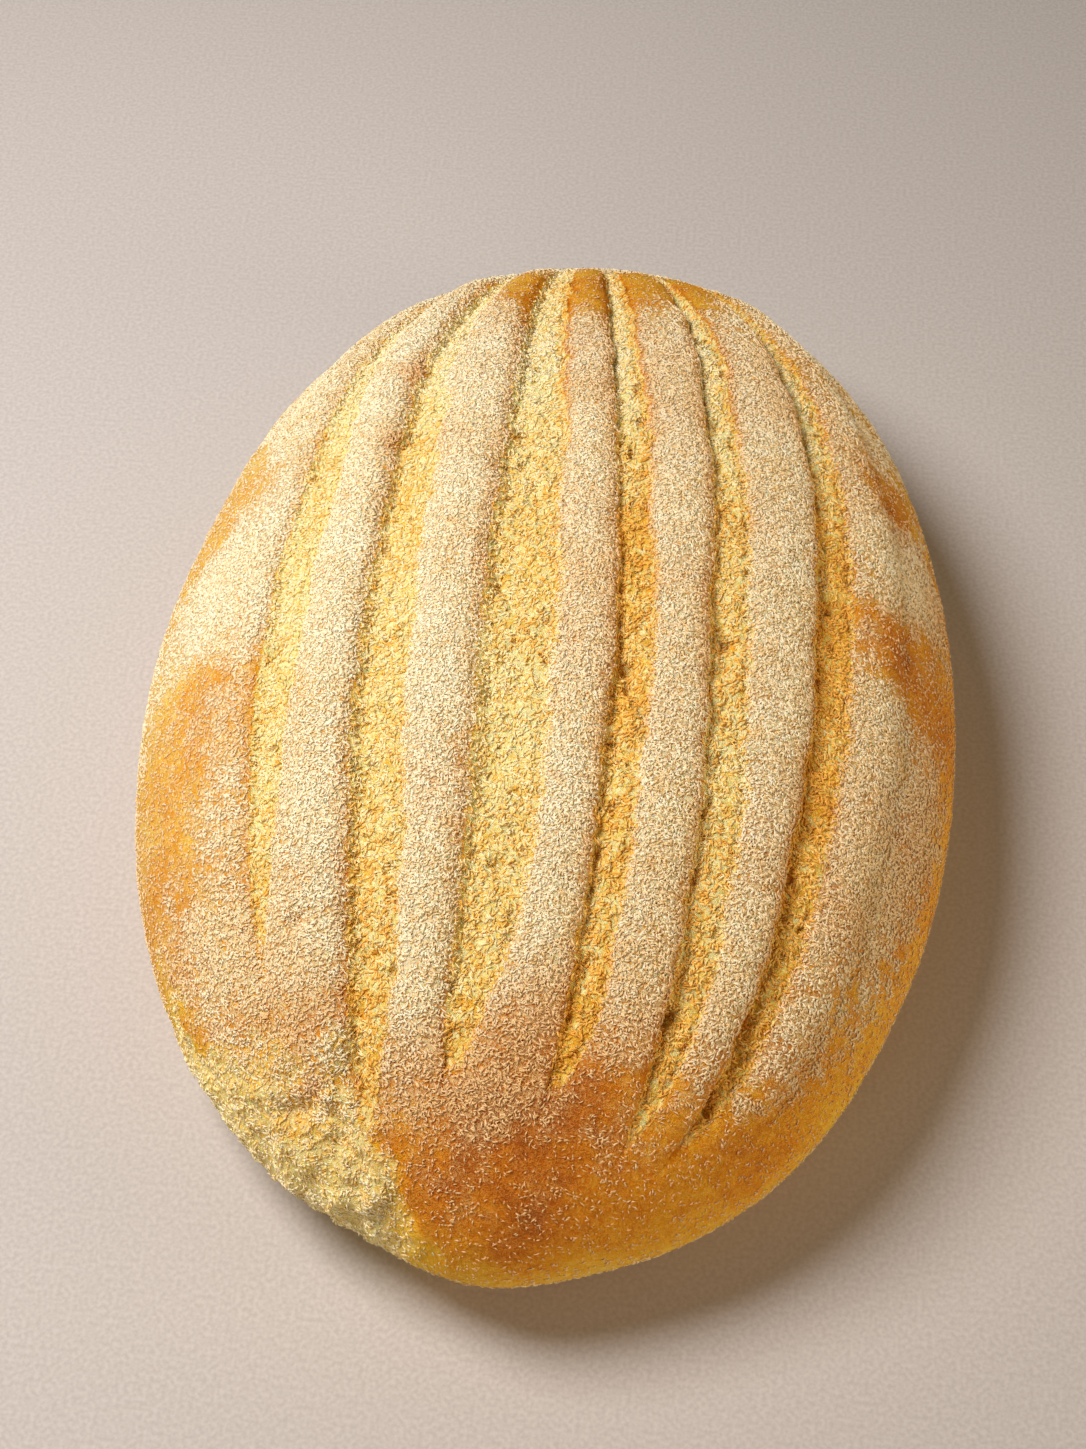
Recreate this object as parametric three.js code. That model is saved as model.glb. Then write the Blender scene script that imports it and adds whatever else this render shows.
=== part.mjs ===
// A long oval loaf of sweet yellow bread, baked free on its own flat foot.
// Six long cuts were made side by side along the crown before baking. Each opened into a groove of
// torn crumb with a steep wall on its left and a soft lip on its right, and the dough between them
// rose into rounded strips. Low on the near left the crust has split into a patch of rough crumb.
// Millimetres, +Z up. The length runs along Y with the near end at -Y, and the crown's angles are
// degrees: across runs from -90 at the left rim to 90 at the right one, along from -90 near to 90 far.
import * as THREE from 'three';

// Driving dimensions
const HALF_LENGTH = 126.3;
const HALF_WIDTH = 86;
const CROWN_HEIGHT = 71;
const GIRTH_HEIGHT = 21;
const FOOT_SHARE = 0.8;
const PLAN_POWER = 2.15;

// The plan is an oval with slow waves round it, and it swells to a blunt nose at the near end.
const OUTLINE_WAVES = [
  { turns: 2, cos: 0, sin: 0.008 },
  { turns: 3, cos: -0.0056, sin: -0.0054 },
  { turns: 4, cos: -0.0072, sin: 0.0031 },
];
const NOSE_TURN = 267.6;
const NOSE_SWELL = 0.0203;
const NOSE_SPREAD = 10;

// The cuts, from left to right. edge holds the steep wall's angle at four places, far to near, wide
// the groove's width at three, deep its depth, and the groove closes over the last `closes` degrees.
const READ_SPAN = 50;
const CUTS = [
  { edge: [-43.3, -41.1, -41.0, -48.7], wide: [5.0, 7.6, 7.6], deep: 2.0, ends: -46, closes: 44 },
  { edge: [-26.9, -25.2, -24.4, -31.8], wide: [5.6, 7.4, 9.4], deep: 2.5, ends: -65, closes: 24 },
  { edge: [-11.6, -9.1, -8.5, -12.2], wide: [7.0, 8.8, 11.6], deep: 2.7, ends: -59, closes: 34 },
  { edge: [3.4, 5.7, 7.8, 8.0], wide: [3.9, 5.0, 6.3], deep: 2.5, ends: -61, closes: 18 },
  { edge: [18.7, 18.8, 20.7, 26.9], wide: [2.9, 5.9, 7.5], deep: 2.3, ends: -66, closes: 29 },
  { edge: [33.2, 36.0, 37.2, 41.1], wide: [3.2, 6.9, 6.0], deep: 2.0, ends: -65, closes: 22 },
];
const CUT_FAR_END = 67;
const CUT_FAR_FADE = 26;
const CUT_NEAR_FADE = 26;
const CLOSED_WIDTH = 1.2;
const WALL_SHARE = 0.17;
const LIP_DROP = 0.24;
const STRIP_RISE = 1.5;
const FLANK_STRIP = 13;

// The torn patch: its top edge peaks above one turn of the plan and falls away to both sides.
const TEAR_TURN = 247.5;
const TEAR_TOP = 46;
const TEAR_LEFT = { spread: 30, fall: 18, power: 1.2 };
const TEAR_RIGHT = { spread: 15.5, fall: 24, power: 1.8 };
const TEAR_EDGE = 7;
const TEAR_SINK = 0.4;
const CRAGS = [
  { cell: 8, height: 1.2 },
  { cell: 4.5, height: 0.8 },
];

// Uneven baking: slow swells of the crust, and lumps of crumb along the floors of the grooves.
const SWELL = { cell: 38, height: 0.7 };
const FLOOR_LUMP = { cell: 6, height: 0.45 };
const SEED = 7;

// How finely the skin is divided
const STATIONS = 64;
const LEFT_FLANK_LINES = 8;
const RIGHT_FLANK_LINES = 7;
const STRIP_SHARES = [0.25, 0.62];
const FLOOR_PLACES = [0, WALL_SHARE, 0.55, 1];
const UNDER_RINGS = 6;
const TIP_FROM = 68;
const TIP_FADE = 12;

const ease = (value) => THREE.MathUtils.smoothstep(value, 0, 1);

// Seeded noise between -1 and 1 on a lattice of cells, smooth between its corners.
function corner(i, j, k) {
  const wave = Math.sin(i * 127.1 + j * 311.7 + k * 74.7 + SEED * 19.19) * 43758.5453;
  return 2 * (wave - Math.floor(wave)) - 1;
}

function noise(point, cell) {
  const low = point.clone().divideScalar(cell).floor();
  const part = point.clone().divideScalar(cell).sub(low);
  let sum = 0;
  for (const di of [0, 1]) {
    for (const dj of [0, 1]) {
      for (const dk of [0, 1]) {
        const weight = ease(di ? part.x : 1 - part.x)
          * ease(dj ? part.y : 1 - part.y)
          * ease(dk ? part.z : 1 - part.z);
        sum += weight * corner(low.x + di, low.y + dj, low.z + dk);
      }
    }
  }
  return sum;
}

// The smooth form before any relief
function outline(turn) {
  let reach = 1;
  for (const wave of OUTLINE_WAVES) {
    const angle = THREE.MathUtils.degToRad(wave.turns * turn);
    reach += wave.cos * Math.cos(angle) + wave.sin * Math.sin(angle);
  }
  const fromNose = (THREE.MathUtils.euclideanModulo(turn, 360) - NOSE_TURN) / NOSE_SPREAD;
  return reach + NOSE_SWELL * Math.exp(-fromNose * fromNose);
}

function onPlan(turn, share, height) {
  const angle = THREE.MathUtils.degToRad(turn);
  const reach = outline(turn) * share;
  return new THREE.Vector3(
    HALF_WIDTH * reach * Math.cos(angle),
    HALF_LENGTH * reach * Math.sin(angle),
    height,
  );
}

function crownPoint(across, along) {
  const a = THREE.MathUtils.degToRad(across);
  const t = THREE.MathUtils.degToRad(along);
  const side = Math.cos(t) * Math.sin(a);
  const forward = Math.sin(t);
  const up = Math.cos(t) * Math.cos(a);
  const turn = THREE.MathUtils.radToDeg(Math.atan2(forward, side));
  const share = Math.hypot(side, forward) ** (2 / PLAN_POWER);
  return onPlan(turn, share, GIRTH_HEIGHT + (CROWN_HEIGHT - GIRTH_HEIGHT) * up);
}

function underPoint(turn, drop) {
  const angle = drop * Math.PI / 2;
  const share = FOOT_SHARE + (1 - FOOT_SHARE) * Math.cos(angle);
  return onPlan(turn, share, GIRTH_HEIGHT * (1 - Math.sin(angle)));
}

function outward(point) {
  const rise = point.z - GIRTH_HEIGHT;
  const halfRise = rise > 0 ? CROWN_HEIGHT - GIRTH_HEIGHT : GIRTH_HEIGHT;
  return new THREE.Vector3(
    point.x / HALF_WIDTH ** 2,
    point.y / HALF_LENGTH ** 2,
    rise / halfRise ** 2,
  ).normalize();
}

// The cuts
function throughFour(values, place) {
  const t = THREE.MathUtils.clamp(place, -1.4, 1.4) * 1.5 + 1.5;
  const [near, nearMid, farMid, far] = [values[3], values[2], values[1], values[0]];
  const first = near + (nearMid - near) * t;
  const second = (farMid - 2 * nearMid + near) * t * (t - 1) / 2;
  const third = (far - 3 * farMid + 3 * nearMid - near) * t * (t - 1) * (t - 2) / 6;
  return first + second + third;
}

function throughThree([far, middle, near], place) {
  const slope = (far - near) / 2;
  return middle + slope * place + ((far + near) / 2 - middle) * place * place;
}

function grooveAt(cut, along) {
  const place = Math.max(along, cut.ends) / READ_SPAN;
  const open = THREE.MathUtils.clamp((along - cut.ends) / cut.closes, 0, 1);
  const width = throughThree(cut.wide, THREE.MathUtils.clamp(place, -1.2, 1.2));
  const nearFade = ease((along - cut.ends) / CUT_NEAR_FADE);
  const farFade = ease((CUT_FAR_END - along) / CUT_FAR_FADE);
  return {
    left: throughFour(cut.edge, place),
    width: Math.max(width * Math.sin(open * Math.PI / 2), CLOSED_WIDTH),
    depth: cut.deep * nearFade * farFade,
  };
}

function cutRelief(across, grooves) {
  let relief = 0;
  let stripStart = grooves[0].left - FLANK_STRIP;
  for (const groove of [...grooves, null]) {
    const stripEnd = groove ? groove.left : stripStart + FLANK_STRIP;
    if (across > stripStart && across < stripEnd) {
      const place = (across - stripStart) / (stripEnd - stripStart);
      const beside = groove ?? grooves[grooves.length - 1];
      const strength = Math.min(beside.depth / 3, 1);
      relief += STRIP_RISE * strength * Math.sin(Math.PI * place) ** 0.7;
    }
    if (groove && across >= groove.left && across <= groove.left + groove.width) {
      const place = (across - groove.left) / groove.width;
      const onWall = place < WALL_SHARE;
      const climb = ease((place - WALL_SHARE) / (1 - WALL_SHARE));
      relief -= groove.depth * (onWall ? place / WALL_SHARE : 1 - (1 - LIP_DROP) * climb);
    }
    stripStart = groove ? groove.left + groove.width : stripEnd;
  }
  return relief;
}

function inGroove(across, grooves) {
  return grooves.some(({ left, width, depth }) => (
    depth > 1 && across > left && across < left + width
  ));
}

// The torn patch and the uneven crust
function tearAt(turn, height) {
  const from = turn - TEAR_TURN;
  const side = from < 0 ? TEAR_LEFT : TEAR_RIGHT;
  const far = Math.abs(from) / side.spread;
  const top = TEAR_TOP - side.fall * far ** side.power;
  const edgeLeft = (1.15 - far) * side.spread / TEAR_EDGE;
  return ease((top - height) / TEAR_EDGE + 0.5) * ease(edgeLeft);
}

function crustRelief(point, turn) {
  const tear = tearAt(THREE.MathUtils.euclideanModulo(turn, 360), point.z);
  const aboveFoot = ease(point.z / GIRTH_HEIGHT * 2);
  let relief = SWELL.height * noise(point, SWELL.cell) - TEAR_SINK * tear;
  for (const crag of CRAGS) {
    relief += tear * crag.height * noise(point, crag.cell);
  }
  return relief * aboveFoot;
}

function turnOf(point) {
  return THREE.MathUtils.radToDeg(Math.atan2(point.y / HALF_LENGTH, point.x / HALF_WIDTH));
}

function raised(point, relief) {
  return point.clone().addScaledVector(outward(point), relief);
}

function crownVertex(across, along, grooves) {
  const base = crownPoint(across, along);
  let relief = crustRelief(base, turnOf(base)) + cutRelief(across, grooves);
  if (inGroove(across, grooves)) {
    relief += FLOOR_LUMP.height * noise(base, FLOOR_LUMP.cell);
  }
  return raised(base, relief);
}

// The lines that run from end to end follow the walls, floors and lips of the grooves, and are
// spread evenly again where they meet at the tips.
function linesAcross(grooves, along) {
  const lines = [];
  const first = grooves[0].left;
  for (let i = 0; i < LEFT_FLANK_LINES; i += 1) {
    lines.push(-90 + (first + 90) * i / LEFT_FLANK_LINES);
  }
  grooves.forEach(({ left, width }, index) => {
    const right = left + width;
    lines.push(...FLOOR_PLACES.map((place) => left + width * place));
    const next = grooves[index + 1];
    if (next) {
      lines.push(...STRIP_SHARES.map((share) => right + (next.left - right) * share));
    }
  });
  const last = lines[lines.length - 1];
  for (let i = 1; i <= RIGHT_FLANK_LINES; i += 1) {
    lines.push(last + (90 - last) * i / RIGHT_FLANK_LINES);
  }
  const towardsTip = ease((Math.abs(along) - TIP_FROM) / TIP_FADE);
  return lines.map((line, index) => {
    const even = -90 + 180 * index / (lines.length - 1);
    return line + (even - line) * towardsTip;
  });
}

function loafGeometry() {
  const vertices = [];
  const triangles = [];
  const add = (point) => vertices.push(point) - 1;

  // Crown: one row of points at each station, and a single point at either end
  const nearTip = add(crownPoint(0, -90));
  const rows = [];
  for (let station = 1; station < STATIONS; station += 1) {
    const along = -90 + 180 * station / STATIONS;
    const grooves = CUTS.map((cut) => grooveAt(cut, along));
    const lines = linesAcross(grooves, along);
    rows.push(lines.map((across) => add(crownVertex(across, along, grooves))));
  }
  const farTip = add(crownPoint(0, 90));
  const lineCount = rows[0].length;
  for (let line = 0; line < lineCount - 1; line += 1) {
    triangles.push(nearTip, rows[0][line + 1], rows[0][line]);
    for (let row = 0; row < rows.length - 1; row += 1) {
      const [a, b] = [rows[row][line], rows[row][line + 1]];
      const [c, d] = [rows[row + 1][line], rows[row + 1][line + 1]];
      triangles.push(a, b, d, a, d, c);
    }
    triangles.push(farTip, rows[rows.length - 1][line], rows[rows.length - 1][line + 1]);
  }

  // Underside: rings that go in from the rim to the flat foot, and the foot itself
  const rightRim = rows.map((row) => row[lineCount - 1]);
  const leftRim = rows.map((row) => row[0]).reverse();
  const stationTurns = rows.map((row, index) => -90 + 180 * (index + 1) / STATIONS);
  const leftTurns = stationTurns.map((turn) => 180 - turn).reverse();
  const turns = [-90, ...stationTurns, 90, ...leftTurns];
  let ring = [nearTip, ...rightRim, farTip, ...leftRim];
  for (let step = 1; step <= UNDER_RINGS; step += 1) {
    const lower = turns.map((turn) => {
      const base = underPoint(turn, step / UNDER_RINGS);
      return add(raised(base, crustRelief(base, turn)));
    });
    ring.forEach((upper, i) => {
      const next = (i + 1) % ring.length;
      triangles.push(upper, lower[next], ring[next], upper, lower[i], lower[next]);
    });
    ring = lower;
  }
  const footMiddle = add(new THREE.Vector3(0, 0, 0));
  ring.forEach((rim, i) => triangles.push(rim, footMiddle, ring[(i + 1) % ring.length]));

  const geometry = new THREE.BufferGeometry().setFromPoints(vertices);
  geometry.setIndex(triangles);
  geometry.computeBoundingBox();
  const middle = geometry.boundingBox.getCenter(new THREE.Vector3());
  geometry.translate(-middle.x, -middle.y, 0);
  geometry.computeVertexNormals();
  return geometry;
}

const crust = new THREE.MeshStandardMaterial({ color: 0xe3c48c, roughness: 0.85, metalness: 0 });
const loaf = new THREE.Mesh(loafGeometry(), crust);
loaf.name = 'loaf';

const group = new THREE.Group();
group.add(loaf);

export default group;
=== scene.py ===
import math

import bpy
import numpy as np
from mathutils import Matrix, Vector


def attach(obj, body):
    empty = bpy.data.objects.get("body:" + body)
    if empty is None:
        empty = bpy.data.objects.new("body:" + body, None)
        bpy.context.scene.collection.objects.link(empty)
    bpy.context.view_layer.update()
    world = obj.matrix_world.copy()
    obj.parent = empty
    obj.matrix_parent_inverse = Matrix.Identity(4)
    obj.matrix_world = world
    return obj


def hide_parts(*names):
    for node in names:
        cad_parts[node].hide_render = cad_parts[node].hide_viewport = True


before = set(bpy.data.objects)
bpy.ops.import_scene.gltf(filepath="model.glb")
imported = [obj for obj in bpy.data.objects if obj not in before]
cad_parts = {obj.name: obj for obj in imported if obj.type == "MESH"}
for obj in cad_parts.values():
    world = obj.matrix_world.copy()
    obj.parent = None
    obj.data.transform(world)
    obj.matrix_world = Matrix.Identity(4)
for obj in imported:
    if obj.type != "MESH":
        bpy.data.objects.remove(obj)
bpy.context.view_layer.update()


# ---------------------------------------------------------------------------------------------
# View. The loaf is seen from above its near end, a little from the right, with a portrait
# frame and a normal lens. Sizes here and below are in millimetres of the loaf's own form, whose
# middle is where its length and width cross; SHIFT carries that form to the frame's middle.
# ---------------------------------------------------------------------------------------------
MM = 0.001
SHIFT = np.array([0.52, 0.54, 0.0])
AZIMUTH = 5.0
ELEVATION = 54.0
DISTANCE = 503.4
AIM = np.array([-1.45, -8.45, 30.0])
LENS = 60.0
SENSOR = 36.0


def place_camera():
    turn = math.radians(AZIMUTH)
    lift = math.radians(ELEVATION)
    back = Vector((
        math.sin(turn) * math.cos(lift),
        -math.cos(turn) * math.cos(lift),
        math.sin(lift),
    ))
    lens = bpy.data.cameras.new("view")
    lens.lens = LENS
    lens.sensor_width = SENSOR
    camera = bpy.data.objects.new("view", lens)
    bpy.context.collection.objects.link(camera)
    camera.location = Vector((AIM + SHIFT) * MM) + back * DISTANCE * MM
    camera.rotation_euler = (-back).to_track_quat("-Z", "Y").to_euler()
    bpy.context.scene.camera = camera


place_camera()


# ---------------------------------------------------------------------------------------------
# Loaf skin. A long oval loaf of sweet yellow dough that stands on its own flat foot. Six cuts
# along the crown opened in the oven into grooves of torn crumb, and the strips between them
# rose. Crust and crumb are one skin: a ball drawn out to the oval, with the relief raised on it.
# ---------------------------------------------------------------------------------------------
HALF_LENGTH = 126.3
HALF_WIDTH = 86.0
CROWN_HEIGHT = 71.0
GIRTH_HEIGHT = 21.0
FOOT_SHARE = 0.8
PLAN_POWER = 2.15
OUTLINE_WAVES = ((2, 0.0, 0.008), (3, -0.0056, -0.0054), (4, -0.0072, 0.0031))
NOSE_TURN = 267.6
NOSE_SWELL = 0.0203
NOSE_SPREAD = 10.0

# The cuts from left to right: the wall's angle round the crown at four places, far to near, the
# groove's width at three, its depth, where it ends, how slowly it closes and how much darker its
# crumb is: its own golden tone, and in the right-hand grooves painted shade as well.
CUTS = (
    ((-43.3, -41.1, -41.0, -48.7), (5.0, 7.6, 7.6), 1.3, -46, 44, -0.06),
    ((-26.9, -25.2, -24.4, -31.8), (5.6, 7.4, 9.4), 2.0, -65, 24, 0.08),
    ((-11.6, -9.1, -8.5, -12.2), (7.0, 8.8, 11.6), 2.1, -59, 34, 0.01),
    ((3.4, 5.7, 7.8, 8.0), (3.9, 5.0, 6.3), 1.8, -61, 18, 0.28),
    ((18.7, 18.8, 20.7, 26.9), (2.9, 5.9, 7.5), 1.8, -66, 29, 0.06),
    ((33.2, 35.9, 36.8, 41.1), (3.2, 6.9, 6.0), 1.7, -65, 22, 0.34),
)
READ_SPAN = 50.0
CUT_FAR_END = 67.0
CUT_FAR_FADE = 22.0
CUT_NEAR_FADE = 26.0
CLOSED_WIDTH = 1.2
WALL_SHARE = 0.23
LIP_DROP = 0.28
# How deep a cut shows its crumb, and how deep it has its full wall, lip and strip
OPEN_DEPTH = 0.8
FULL_DEPTH = 1.2
# Where crumb and a floor bare of meal lie across a groove, in shares of its width: where each
# starts, is full, begins to fade and ends
CRUMB_SPAN = (0.02, 0.14, 0.98, 1.10)
BARE_SPAN = (0.01, 0.11, 0.91, 1.07)
# Lines along the walls, on the strips' right shoulders: browned cut edges, darkened as painted
# shade too, since those shoulders face away from the light. Browned lines along the lips right of
# the middle and towards the far end
WALL_LINE = -0.2
WALL_LINE_SPREAD = 1.0
LIP_LINE_SPREAD = 0.9
LIPS_FROM = -5.0
LIPS_FADE = 30.0
# The strips between the cuts: how far they rose, how their tops lean and how round they are
STRIP_RISE = 1.5
STRIP_LEAN = 1.08
STRIP_ROUNDNESS = 0.60
FLANK_STRIP = 13.0
FLANK_ROUNDNESS = 0.75

# The torn patch low on the near left, under a ragged edge that peaks above one turn of the plan.
# To its left and right: how far it spreads, how much its edge falls there and how sharply.
TEAR_TURN = 247.5
TEAR_TOP = 47.0
TEAR_LEFT = (30.0, 18.0, 1.2)
TEAR_RIGHT = (15.5, 24.0, 1.8)
TEAR_EDGE = 11.0
TEAR_END = 1.15
TEAR_SINK = 0.4
TEAR_ROUGHNESS = 0.22

# Hollows: the gully from the second cut down through the patch, then the single holes torn in
# the crumb, which are the small ones. Where each is, how far it reaches and how deep it goes.
HOLLOWS = (
    (-29, -103, 46, 5, 1.9),
    (-31, -110, 39, 6, 2.6),
    (-39, -106, 37, 4, 1.7),
    (16, -22, 70, 1.9, 3.2),
    (17, -26, 70, 1.5, 1.8),
    (36, -12, 67, 1.9, 2.4),
    (34, -8, 68, 1.5, 1.8),
    (57, 5, 60, 1.8, 2.2),
    (57, -4, 60, 2.0, 2.0),
    (-30, -34, 68, 1.7, 1.8),
    (-33, 62, 62, 1.9, 2.2),
    (-33, 50, 64, 1.7, 1.8),
    (-41, -75, 55, 1.8, 1.8),
)
SMALL_HOLE = 3.0

# Unevenness in layers: how high each one's lumps are, how wide, and its seed
SWELLS = ((0.7, 38.0, 7),)
CRAGS = ((1.1, 8.0, 7), (0.8, 4.5, 7))
CRUMB_LUMPS = ((0.45, 6.0, 7), (0.40, 2.6, 61), (0.35, 1.5, 62))
CRUST_LUMPS = ((0.16, 3.2, 64), (0.10, 1.6, 65))
EDGE_RAGS = ((0.42, 3.1, 0), (0.30, 1.3, 10))
WIDTH_RAGS = ((0.55, 4.0, 20), (0.35, 1.5, 30))
TEAR_TOP_RAGS = ((4.5, 8.0, 3), (3.0, 3.2, 4))
TEAR_SIDE_RAGS = ((0.16, 5.0, 5),)
RAG_LINES_APART = 31.7
# Pits and knobs: how high, how far apart, how far each reaches and fades in that distance, seed
CRUMB_PITS = (0.7, 4.2, 0.42, 0.25, 63)
CRUMB_HOLES = (1.1, 9.0, 0.26, 0.14, 67)
TORN_KNOBS = (0.9, 4.6, 0.60, 0.45, 66)

# How many lines run from end to end over each stretch of the section, and how many across
LEFT_FLANK_LINES = 48
WALL_LINES = 5
FLOOR_LINES = 14
STRIP_LINES = 18
RIGHT_FLANK_LINES = 44
UNDER_LINES = 26
STATIONS = 360


# What makes a lattice corner's number look random, for the noise that is the same on every run
SCRAMBLE = (127.1, 311.7, 74.7, 19.19)
SCRAMBLE_SCALE = 43758.5453

X, Y, Z = 0, 1, 2


def ease(value):
    value = np.clip(value, 0, 1)
    return value * value * (3 - 2 * value)


def ramp(value, start, full):
    """Nought at `start`, one at `full`, eased between."""
    return ease((value - start) / (full - start))


def within(value, start, full, fading, end):
    """One from `full` to `fading`, nought before `start` and past `end`."""
    return ramp(value, start, full) * ramp(value, end, fading)


def hump(value, middle, spread):
    """One at the middle, falling away on both sides."""
    return np.exp(-((value - middle) / spread) ** 2)


def distance(points, place):
    return np.linalg.norm(points - np.array(place), axis=-1)


def trend(points, amount, *stretches):
    """An amount that comes in over each stretch: an axis, where it starts and where it is full."""
    for axis, start, full in stretches:
        amount = amount * ramp(points[..., axis], start, full)
    return amount


def trends(points, rows):
    return sum(trend(points, *row) for row in rows)


def lattice(i, j, k, seed):
    """A number between -1 and 1 for each corner of a lattice."""
    mixed = i * SCRAMBLE[0] + j * SCRAMBLE[1] + k * SCRAMBLE[2] + seed * SCRAMBLE[3]
    wave = np.sin(mixed) * SCRAMBLE_SCALE
    return 2 * (wave - np.floor(wave)) - 1


def noise(points, cell, seed):
    """Noise between -1 and 1 on a lattice of cells, smooth between its corners."""
    low = np.floor(points / cell)
    part = ease(points / cell - low)
    total = np.zeros(points.shape[:-1])
    for step in np.ndindex(2, 2, 2):
        near = np.array(step)
        weight = np.where(near == 1, part, 1 - part).prod(-1)
        total += weight * lattice(*np.moveaxis(low + near, -1, 0), seed)
    return total


def lumps(points, layers):
    return sum(height * noise(points, cell, seed) for height, cell, seed in layers)


def dots(points, height, cell, reach, fade, seed):
    """Round dots of one height, one to a cell, each at a place of its own in it."""
    low = np.floor(points / cell)
    nearest = np.full(points.shape[:-1], np.inf)
    for step in np.ndindex(3, 3, 3):
        home = low + np.array(step) - 1
        axes = np.moveaxis(home, -1, 0)
        pip = home + 0.5 + 0.5 * np.stack([lattice(*axes, seed + n) for n in range(3)], -1)
        nearest = np.minimum(nearest, np.linalg.norm(points / cell - pip, axis=-1))
    return height * ease((reach - nearest) / fade)


def outline(turn):
    """How far the plan reaches at each turn, as a share of the plain oval."""
    reach = np.ones_like(turn)
    for waves, across, along in OUTLINE_WAVES:
        angle = np.radians(waves * turn)
        reach += across * np.cos(angle) + along * np.sin(angle)
    return reach + NOSE_SWELL * hump(turn % 360, NOSE_TURN, NOSE_SPREAD)


def loaf_form(side, forward, up):
    """A point of the unit ball carried to the smooth loaf: dome above the girth, foot below."""
    turn = np.degrees(np.arctan2(forward, side))
    reach = np.hypot(side, forward)
    share = reach ** (2 / PLAN_POWER)
    height = GIRTH_HEIGHT + (CROWN_HEIGHT - GIRTH_HEIGHT) * up
    inward = np.clip((90 - np.degrees(np.arcsin(np.clip(reach, 0, 1)))) / 45, 0, 2)
    bend = np.clip(inward, 0, 1) * math.pi / 2
    under = (FOOT_SHARE + (1 - FOOT_SHARE) * np.cos(bend)) * np.clip(2 - inward, 0, 1)
    share = np.where(up < 0, under, share)
    height = np.where(up < 0, GIRTH_HEIGHT * (1 - np.sin(bend)), height)
    reach = outline(turn) * share
    x = HALF_WIDTH * reach * np.cos(np.radians(turn))
    y = HALF_LENGTH * reach * np.sin(np.radians(turn))
    return np.stack([x, y, height], -1)


def outward(points):
    """The way straight out of the smooth loaf."""
    rise = points[..., Z] - GIRTH_HEIGHT
    half_rise = np.where(rise > 0, CROWN_HEIGHT - GIRTH_HEIGHT, GIRTH_HEIGHT)
    slope = np.stack([
        points[..., X] / HALF_WIDTH ** 2,
        points[..., Y] / HALF_LENGTH ** 2,
        rise / half_rise ** 2,
    ], -1)
    return slope / np.linalg.norm(slope, axis=-1, keepdims=True)


def through_four(values, place):
    """A cubic through values read at 1, 1/3, -1/3 and -1, which runs on a little past its ends."""
    t = np.clip(place, -1.4, 1.4) * 1.5 + 1.5
    far, far_mid, near_mid, near = values
    first = near + (near_mid - near) * t
    second = (far_mid - 2 * near_mid + near) * t * (t - 1) / 2
    third = (far - 3 * far_mid + 3 * near_mid - near) * t * (t - 1) * (t - 2) / 6
    return first + second + third


def through_three(values, place):
    """A curve through values read at 1, 0 and -1, which runs on a little past its ends."""
    place = np.clip(place, -1.2, 1.2)
    far, middle, near = values
    slope = (far - near) / 2
    return middle + slope * place + ((far + near) / 2 - middle) * place * place


def rags(along, layers, index):
    """Unevenness along one cut's edge, each layer on a line of its own."""
    total = np.zeros_like(along)
    for height, cell, seed in layers:
        seed += index
        side = np.full_like(along, RAG_LINES_APART * seed)
        total += height * noise(np.stack([along, side, np.zeros_like(along)], -1), cell, seed)
    return total


def groove_at(cut, index, along):
    """Where a cut's wall stands at each station, how wide its groove is and how deep."""
    edge, wide, deep, ends, closes, _ = cut
    place = np.maximum(along, ends) / READ_SPAN
    open_share = np.clip((along - ends) / closes, 0, 1)
    left = through_four(edge, place) + rags(along, EDGE_RAGS, index) * open_share
    width = through_three(wide, place) * np.sin(open_share * math.pi / 2)
    width = np.maximum(width + rags(along, WIDTH_RAGS, index) * open_share, CLOSED_WIDTH)
    fade = ease((along - ends) / CUT_NEAR_FADE) * ease((CUT_FAR_END - along) / CUT_FAR_FADE)
    return left, width, deep * fade


def lay_lines(along):
    """The skin's lines at every station, and what stretch of the section each one is on."""
    grooves = [groove_at(cut, index, along) for index, cut in enumerate(CUTS)]
    edges = [np.full_like(along, -90.0)]
    counts = [LEFT_FLANK_LINES]
    for left, width, _ in grooves:
        edges += [left, left + width * WALL_SHARE, left + width]
        counts += [WALL_LINES, FLOOR_LINES, STRIP_LINES]
    counts[-1] = RIGHT_FLANK_LINES
    edges += [np.full_like(along, 90.0)]
    counts += [UNDER_LINES]
    edges += [np.full_like(along, 270.0)]
    lines = []
    for count, start, end in zip(counts, edges, edges[1:]):
        share = np.arange(count) / count
        lines.append(start[:, None] + (end - start)[:, None] * share)
    return np.concatenate(lines, 1), grooves


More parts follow.
